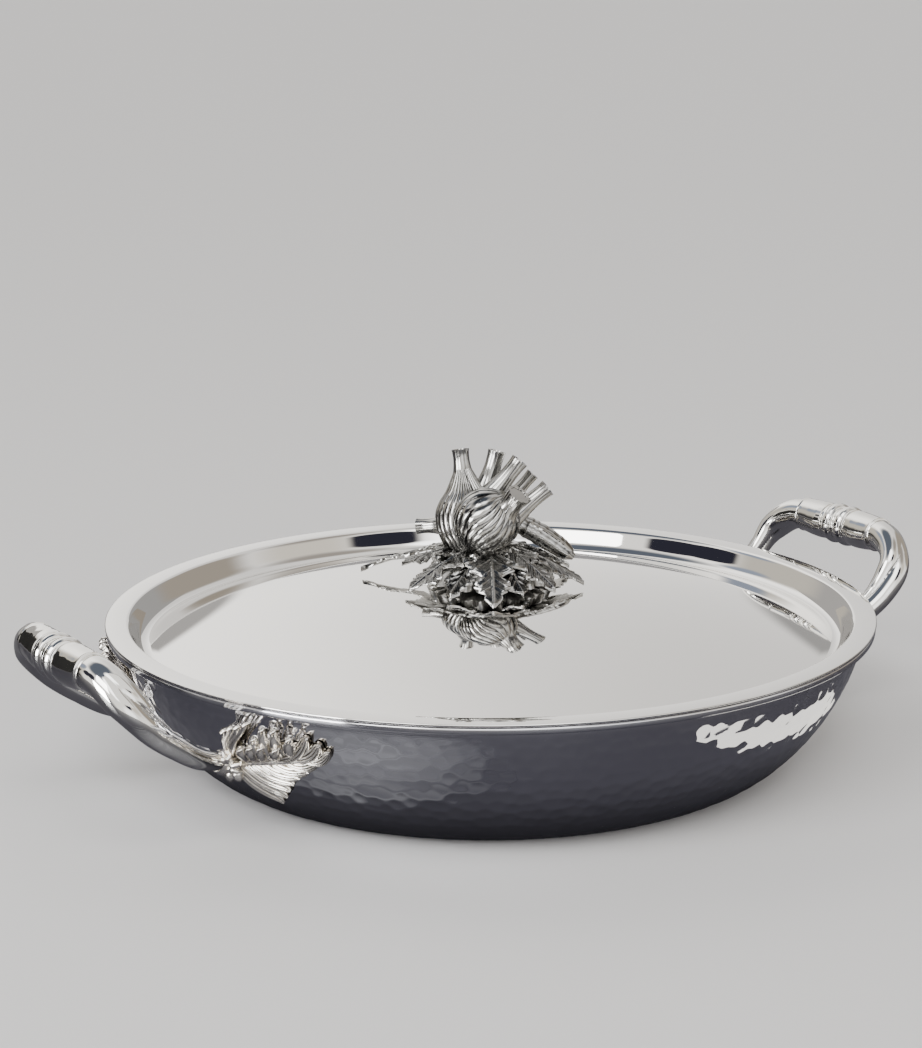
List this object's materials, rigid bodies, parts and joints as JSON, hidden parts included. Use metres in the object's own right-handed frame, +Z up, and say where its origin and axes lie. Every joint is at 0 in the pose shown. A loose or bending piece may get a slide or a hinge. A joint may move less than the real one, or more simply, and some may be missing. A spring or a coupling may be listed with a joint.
{
  "type": "gratin pan",
  "caption": "Shallow round gratin pan with curved hammered sides, twisted loop handles on leaf escutcheons and a sunken domed lid topped by a fennel-bunch knob.",
  "frame": {"origin": "middle of the base's underside, where the pan stands", "axes": "+X to one handle, the right-hand one in the picture; +Z up along the pan's axis; +Y completes the right-handed frame, away from the camera"},
  "size_m": [0.3556, 0.28, 0.1118],
  "materials": {
    "hammered_steel": "hammered and polished",
    "mirror_steel": "mirror",
    "polished_cast": "polished",
    "leaf_silver": "satin with dark recesses",
    "pewter": "antiqued satin",
    "plain_steel": "satin"
  },
  "bodies": {
    "pan": {"pan_body": "hammered_steel", "handle_right": "polished_cast", "leaf_right_a": "leaf_silver", "leaf_right_b": "leaf_silver", "handle_left": "polished_cast", "leaf_left_a": "leaf_silver", "leaf_left_b": "leaf_silver", "rivet_1": "plain_steel", "rivet_2": "plain_steel", "rivet_3": "plain_steel", "rivet_4": "plain_steel", "rivet_5": "plain_steel", "rivet_6": "plain_steel", "rivet_7": "plain_steel", "rivet_8": "plain_steel"},
    "lid": {"lid_shell": "mirror_steel", "finial_rosette": "pewter", "fennel_bulb_front": "pewter", "fennel_bulb_rear": "pewter", "fennel_stem": "pewter", "finial_stud": "plain_steel", "lid_washer": "plain_steel", "lid_nut": "plain_steel"}
  },
  "joints": [
    {"name": "lid_lift", "type": "slide", "parent": "pan", "child": "lid", "axis": [0, 0, 1], "range_m": [0, 0.15]}
  ]
}
